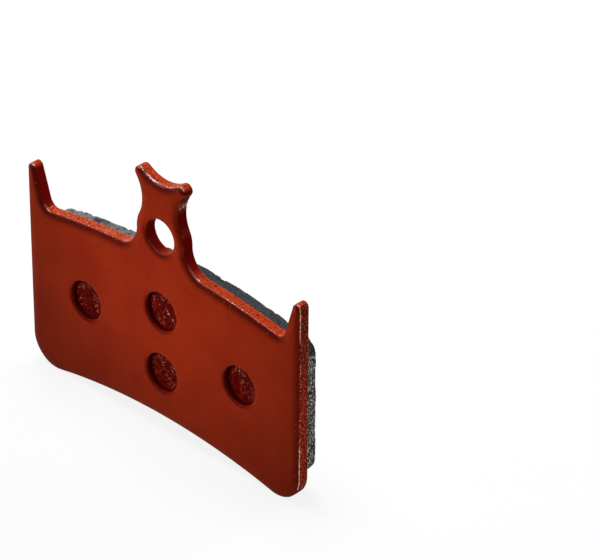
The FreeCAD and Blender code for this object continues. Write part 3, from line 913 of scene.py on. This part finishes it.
# Chips and fibres set in the ground face
chipShape = {
    "sunk": 0.16, "lean": (0.9, 0.8), "shortMore": 2.6, "below": (0.0, 0.07), "tilt": (-0.03, 0.03),
    "fibre": {"length": (0.18, 1.05), "width": (0.06, 0.16)},
    "flake": {"length": (0.8, 1.7), "width": (0.6, 1.1)},
    "corners": (                                    # along, aside, and the least that is left of it
        (1, 0, 0.8), (0.35, 1, 0.7), (-0.45, 1, 0.5), (-1, 0, 0.8), (-0.3, -1, 0.6), (0.5, -1, 0.5),
    ),
}
chipLook = {
    "cloud": (9.0, 2), "dull": 0.3, "clean": (0.3, 1.0), "fine": 0.5,
    "glossFine": 0.3, "specular": 0.2, "bump": 0.02,
}
chipGroups = {
    "creamChips": {"finish": "creamMineral", "colour": "cream", "metal": 0.0, "gloss": 0.5,
                   "kind": "fibre", "count": 640, "seed": 41},
    "brassChips": {"finish": "brassFibre", "colour": "brass", "metal": 0.5, "gloss": 0.38,
                   "kind": "fibre", "count": 240, "seed": 42},
    "greyChips": {"finish": "greyFibre", "colour": "steel", "metal": 0.4, "gloss": 0.45,
                  "kind": "fibre", "count": 440, "seed": 43},
    "tanFlakes": {"finish": "tanMineral", "colour": "tan", "metal": 0.0, "gloss": 0.6,
                  "kind": "flake", "count": 9, "seed": 44},
}


def chipFinish(group):
    look = chipLook
    chip = Finish(group["finish"])
    fine = chip.cloud(chip.place(), *look["cloud"])
    colour = compoundLook[group["colour"]]
    dull = (*(look["dull"] * part for part in colour[:3]), 1.0)
    clean = chip.ease(chip.mark("clean") + look["fine"] * fine, *look["clean"])
    sockets = {
        "Base Color": chip.blend(clean, dull, colour),
        "Metallic": group["metal"],
        "Roughness": group["gloss"] + look["glossFine"] * (fine - 0.5),
        "Specular IOR Level": look["specular"],
        "Normal": chip.bump(fine, look["bump"]),
    }
    return chip.close(chip.add("BsdfPrincipled", {}, sockets))


def blockChips(name, group):
    shape = chipShape
    shortest, longest = shape[group["kind"]]["length"]
    widths = shape[group["kind"]]["width"]
    pick = random.Random(group["seed"])
    skin = Skin()
    for x, z in pick.choices(groundSpots, k=group["count"]):
        length = shortest + (longest - shortest) * pick.random() ** shape["shortMore"]
        width = pick.uniform(*widths)
        turn = pick.gauss(*shape["lean"])
        along = np.array((math.cos(turn), 0.0, math.sin(turn))) * length / 2
        aside = np.array((-math.sin(turn), 0.0, math.cos(turn))) * width / 2
        heart = np.array((x, blockHigh.y - pick.uniform(*shape["below"]), z))
        tilt = np.array((0.0, pick.uniform(*shape["tilt"]), 0.0))
        ends = []
        for ahead, beside, least in shape["corners"]:
            left = pick.uniform(least, 1.0)
            if beside:
                end = heart + along * ahead + aside * beside * left
            else:
                end = heart + (along * left + tilt) * ahead
            ends.append(np.minimum(end, (np.inf, blockHigh.y, np.inf)))
        clean = pick.random()
        upper = skin.row(ends, clean=clean)
        lower = skin.row([end - (0.0, shape["sunk"], 0.0) for end in ends], clean=clean)
        skin.cap(upper)
        skin.cap(lower)
        skin.strips([lower, upper])
    piece = skin.make(name, chipFinish(group), smooth=False)
    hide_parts("friction_block")


for name, group in chipGroups.items():
    blockChips(name, group)


# Pale floor, room and soft boxes
stageLook = {"floor": 2.0, "white": 0.95, "bounce": 0.12, "glow": 0.84, "ambient": 0.12}
softBoxes = {                                       # place, aim and size in millimetres, spread in degrees
    "keyBox": {"place": (-90, -120, -8), "aim": (2, 0, -6), "size": 30, "power": 0.0029, "spread": 20},
    "topBox": {"place": (-80, 20, 300), "aim": (0, 0, -10), "size": 200, "power": 1.02, "spread": 180},
    "sideBox": {"place": (140, 4, -2), "aim": (21, 1, -16), "size": 20, "power": 0.0005, "spread": 14},
    "rearBox": {"place": (65, 295, 65), "aim": (0, 0, -10), "size": 120, "power": 0.5, "spread": 180},
}


def studioFloor():
    look = stageLook
    size, level = look["floor"], plateLow.z * mm
    mesh = bpy.data.meshes.new("floor")
    corners = [(-size, -size, level), (size, -size, level), (size, size, level), (-size, size, level)]
    mesh.from_pydata(corners, [], [(0, 1, 2, 3)])
    floor = bpy.data.objects.new("floor", mesh)
    bpy.context.scene.collection.objects.link(floor)
    pale = Finish("paleFloor")
    lit = pale.add("BsdfDiffuse", {}, {"Color": grey(look["white"])})
    glow = pale.add("Emission", {}, {"Color": white, "Strength": 1.0})
    shown = pale.add("MixShader", {}, {0: look["glow"], 1: lit, 2: glow})
    hidden = pale.add("BsdfDiffuse", {}, {"Color": grey(look["bounce"])})
    mesh.materials.append(pale.close(pale.add("MixShader", {}, {0: pale.shown(), 1: hidden, 2: shown})))
    print("floor at", round(level / mm, 2), "mm")


def studioWorld():
    room = Finish("studio", "World")
    dim = room.add("Background", {}, {"Color": white, "Strength": stageLook["ambient"]})
    bright = room.add("Background", {}, {"Color": white, "Strength": 1.0})
    bpy.context.scene.world = room.close(room.add("MixShader", {}, {0: room.shown(), 1: dim, 2: bright}))


def softBox(name, box):
    lamp = bpy.data.lights.new(name, "AREA")
    lamp.shape = "SQUARE"
    lamp.size = box["size"] * mm
    lamp.energy = box["power"]
    lamp.spread = math.radians(box["spread"])
    place, aim = Vector(box["place"]), Vector(box["aim"])
    stand = bpy.data.objects.new(name, lamp)
    stand.location = place * mm
    stand.rotation_euler = (aim - place).to_track_quat("-Z", "Y").to_euler()
    bpy.context.scene.collection.objects.link(stand)


studioFloor()
studioWorld()
for name, box in softBoxes.items():
    softBox(name, box)
print("room and", len(softBoxes), "soft boxes lit")


# Camera at the photograph's angle
lookFrom = {
    "azimuth": 43.743, "elevation": 32.865, "roll": 0.407, "distance": 413.025,
    "aim": (12.657, 8.018, -3.768), "lens": 229.985, "sensor": 36, "clip": (0.01, 20),
}


def photoCamera():
    turn, lift, roll = (math.radians(lookFrom[name]) for name in ("azimuth", "elevation", "roll"))
    level = Vector((math.cos(turn), math.sin(turn), 0))
    back = Vector((math.sin(turn) * math.cos(lift), -math.cos(turn) * math.cos(lift), math.sin(lift)))
    upright = back.cross(level)
    right = level * math.cos(roll) + upright * math.sin(roll)
    up = upright * math.cos(roll) - level * math.sin(roll)
    lens = bpy.data.cameras.new("camera")
    lens.lens = lookFrom["lens"]
    lens.sensor_width = lookFrom["sensor"]
    lens.clip_start, lens.clip_end = lookFrom["clip"]
    place = (Vector(lookFrom["aim"]) + back * lookFrom["distance"]) * mm
    view = bpy.data.objects.new("camera", lens)
    view.matrix_world = Matrix.Translation(place) @ Matrix((right, up, back)).transposed().to_4x4()
    bpy.context.scene.collection.objects.link(view)
    bpy.context.scene.camera = view
    print("camera at azimuth", lookFrom["azimuth"], "elevation", lookFrom["elevation"])


photoCamera()
bpy.context.scene.view_settings.view_transform = "Standard"

print("scene done")
